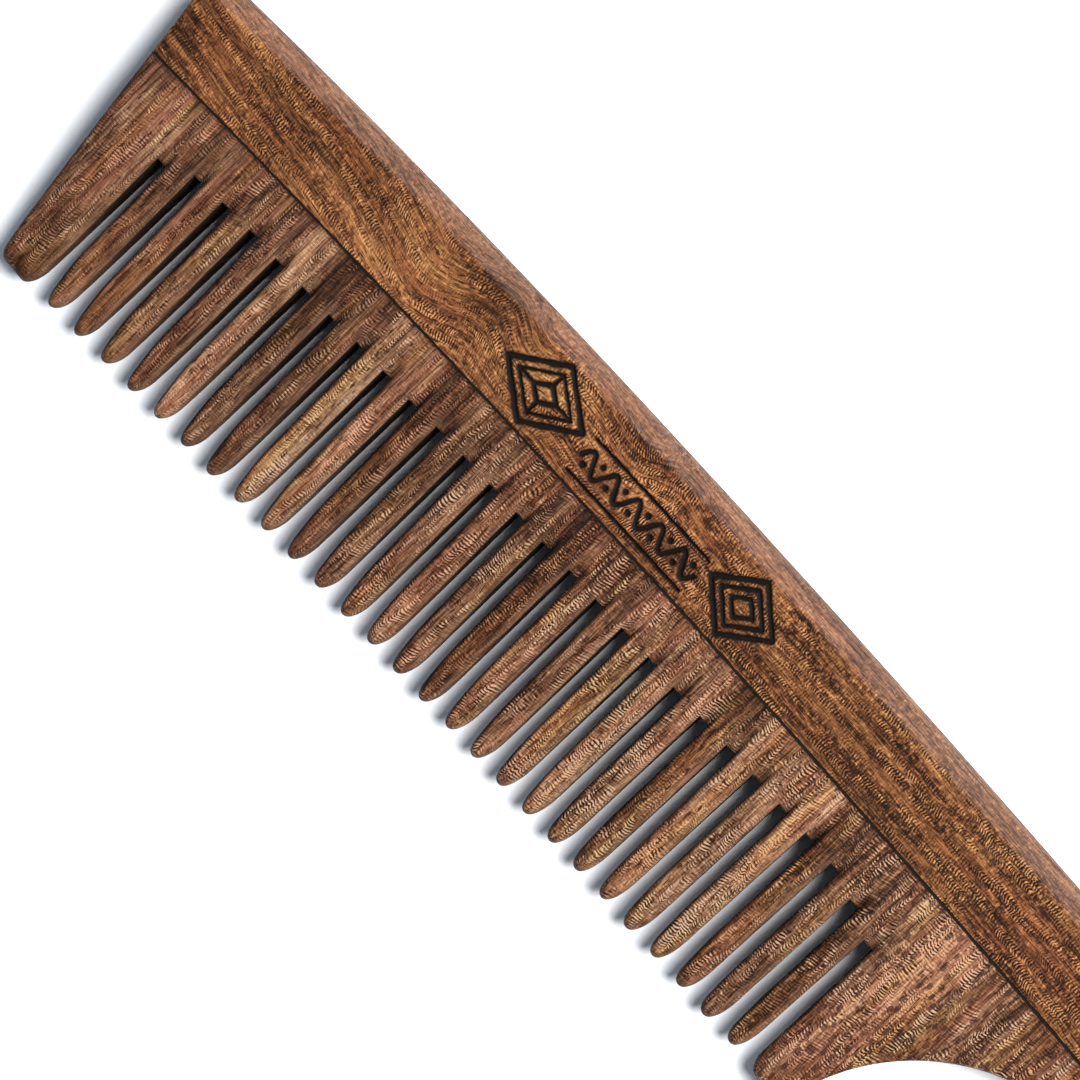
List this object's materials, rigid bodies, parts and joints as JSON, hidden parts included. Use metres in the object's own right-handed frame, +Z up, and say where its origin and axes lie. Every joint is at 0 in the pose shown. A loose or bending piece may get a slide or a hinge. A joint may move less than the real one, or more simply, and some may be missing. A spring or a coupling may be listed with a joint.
{
  "type": "wide tooth comb",
  "caption": "Flat wooden handle comb: a spine rail with a rounded back glued along a dark line to a cross-cut tooth board, with a heel, a finger notch and a handle.",
  "frame": {"origin": "centre of the bounding box of the comb's plan, on the flat underside it rests on", "axes": "+X along the comb towards the handle's end, +Y across it towards the rounded back (the teeth point to -Y), +Z up out of the upper face"},
  "size_m": [0.1996, 0.0436, 0.0072],
  "materials": {
    "rail_wood": "satin, hand-sanded, thinly oiled",
    "board_wood": "satin, hand-sanded, thinly oiled",
    "spline_wood": "bare, planed",
    "glue_line": "dried dark wood glue"
  },
  "bodies": {
    "root": {"spine_rail": "rail_wood", "joint_spline": "spline_wood", "root_strip_left": "board_wood", "root_strip_middle": "board_wood", "root_strip_right": "board_wood", "tooth_01_end": "board_wood", "tooth_02": "board_wood", "tooth_03": "board_wood", "tooth_04": "board_wood", "tooth_05": "board_wood", "tooth_06": "board_wood", "tooth_07": "board_wood", "tooth_08": "board_wood", "tooth_09": "board_wood", "tooth_10": "board_wood", "tooth_11": "board_wood", "tooth_12": "board_wood", "tooth_13": "board_wood", "tooth_14": "board_wood", "tooth_15": "board_wood", "tooth_16": "board_wood", "tooth_17": "board_wood", "tooth_18": "board_wood", "tooth_19": "board_wood", "tooth_20": "board_wood", "tooth_21": "board_wood", "tooth_22": "board_wood", "tooth_23": "board_wood", "tooth_24": "board_wood", "tooth_25": "board_wood", "tooth_26": "board_wood", "tooth_27": "board_wood", "tooth_28": "board_wood", "heel_board": "board_wood"}
  },
  "joints": []
}
